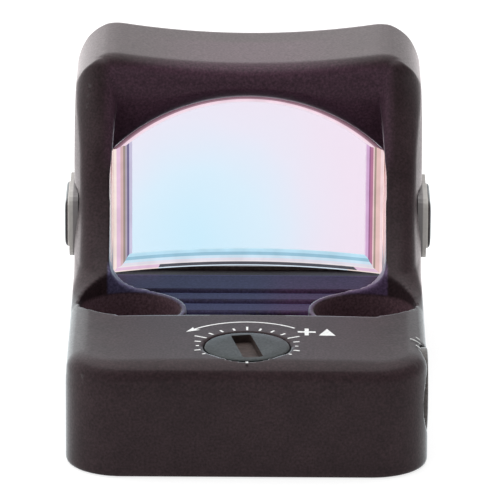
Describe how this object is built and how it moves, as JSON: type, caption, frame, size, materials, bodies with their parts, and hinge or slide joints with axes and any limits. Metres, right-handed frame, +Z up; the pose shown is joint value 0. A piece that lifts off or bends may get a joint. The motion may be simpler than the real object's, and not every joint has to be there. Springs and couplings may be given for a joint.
{
  "type": "reflex red dot sight",
  "caption": "Compact open reflex red dot finder with a hooded lens, screw elevation and windage adjusters and two side brightness buttons.",
  "frame": {"origin": "on the bottom face, at mid width and mid length", "axes": "+Z up, +Y forward from the user towards the target, +X to the right of the user, on the side of the windage adjuster"},
  "size_m": [0.0296, 0.045, 0.025],
  "materials": {
    "anodised": "matte black hard anodised",
    "anodised_screw": "matte black anodised",
    "steel": "plain",
    "plate_steel": "black phosphate",
    "brass": "machined",
    "rubber": "matte",
    "lens_coated": "coated, polished",
    "clear_glass": "polished",
    "adhesive": "cured bead",
    "board_green": "solder mask",
    "black_plastic": "moulded",
    "flex_amber": "film",
    "red_plastic": "moulded",
    "led": "encapsulated",
    "insulator_film": "film"
  },
  "bodies": {
    "sight_body": {"housing": "anodised", "lens_rear_element": "lens_coated", "lens_front_element": "clear_glass", "lens_adhesive_bead": "adhesive", "emitter_window": "clear_glass", "elevation_detent_spring": "steel", "windage_detent_spring": "steel", "carriage_bias_spring": "steel", "emitter_flex_cable": "flex_amber", "left_button_bezel": "anodised", "right_button_bezel": "anodised", "left_switch_body": "black_plastic", "right_switch_body": "black_plastic", "main_circuit_board": "board_green", "microcontroller": "black_plastic", "coin_cell": "steel", "battery_positive_contact": "steel", "battery_negative_contact": "brass", "battery_insulator": "insulator_film", "base_seal": "rubber", "base_plate": "plate_steel", "base_plate_screw_1": "steel", "base_plate_screw_2": "steel", "base_plate_screw_3": "steel", "base_plate_screw_4": "steel"},
    "elevation_screw_body": {"elevation_screw": "anodised_screw", "elevation_oring": "rubber", "elevation_retaining_clip": "steel"},
    "elevation_slide_body": {"elevation_slide": "brass"},
    "windage_screw_body": {"windage_screw": "anodised_screw", "windage_oring": "rubber", "windage_retaining_clip": "steel"},
    "windage_nut_body": {"windage_nut": "brass"},
    "carriage_body": {"emitter_carriage": "black_plastic", "led_emitter": "led", "reticle_mask": "steel"},
    "elevation_detent_body": {"elevation_detent_ball": "steel"},
    "windage_detent_body": {"windage_detent_ball": "steel"},
    "left_button_body": {"left_button": "rubber"},
    "right_button_body": {"right_button": "rubber"},
    "left_plunger_body": {"left_switch_plunger": "red_plastic"},
    "right_plunger_body": {"right_switch_plunger": "red_plastic"}
  },
  "joints": [
    {"name": "elevation_turn", "type": "hinge", "parent": "sight_body", "child": "elevation_screw_body", "pos_m": [0, -0.0177, 0.00908], "axis": [0, 0, 1], "range_deg": [-1060, 1060]},
    {"name": "elevation_travel", "type": "slide", "parent": "sight_body", "child": "elevation_slide_body", "axis": [0, 0, 1], "range_m": [-0.00059, 0.00059]},
    {"name": "windage_turn", "type": "hinge", "parent": "sight_body", "child": "windage_screw_body", "pos_m": [0.01398, -0.0163, 0.0051], "axis": [1, 0, 0], "range_deg": [-1060, 1060]},
    {"name": "windage_travel", "type": "slide", "parent": "sight_body", "child": "windage_nut_body", "axis": [1, 0, 0], "range_m": [-0.00059, 0.00059]},
    {"name": "carriage_travel", "type": "slide", "parent": "elevation_slide_body", "child": "carriage_body", "axis": [1, 0, 0], "range_m": [-0.00059, 0.00059], "deforming": ["carriage_bias_spring"]},
    {"name": "elevation_click", "type": "slide", "parent": "sight_body", "child": "elevation_detent_body", "axis": [0, 0, -1], "range_m": [0, 0.00015], "deforming": ["elevation_detent_spring"]},
    {"name": "windage_click", "type": "slide", "parent": "sight_body", "child": "windage_detent_body", "axis": [-1, 0, 0], "range_m": [0, 0.00015], "deforming": ["windage_detent_spring"]},
    {"name": "left_button_press", "type": "slide", "parent": "sight_body", "child": "left_button_body", "axis": [1, 0, 0], "range_m": [0, 0.00025]},
    {"name": "left_switch_press", "type": "slide", "parent": "sight_body", "child": "left_plunger_body", "axis": [1, 0, 0], "range_m": [0, 0.00025]},
    {"name": "right_button_press", "type": "slide", "parent": "sight_body", "child": "right_button_body", "axis": [-1, 0, 0], "range_m": [0, 0.00025]},
    {"name": "right_switch_press", "type": "slide", "parent": "sight_body", "child": "right_plunger_body", "axis": [-1, 0, 0], "range_m": [0, 0.00025]}
  ],
  "couplings": [
    {"joint": "elevation_turn", "follows": "elevation_travel", "rad_per_m": -31416},
    {"joint": "windage_turn", "follows": "windage_travel", "rad_per_m": -31416},
    {"joint": "carriage_travel", "follows": "windage_travel", "ratio": 1},
    {"joint": "left_switch_press", "follows": "left_button_press", "ratio": 1},
    {"joint": "right_switch_press", "follows": "right_button_press", "ratio": 1}
  ]
}
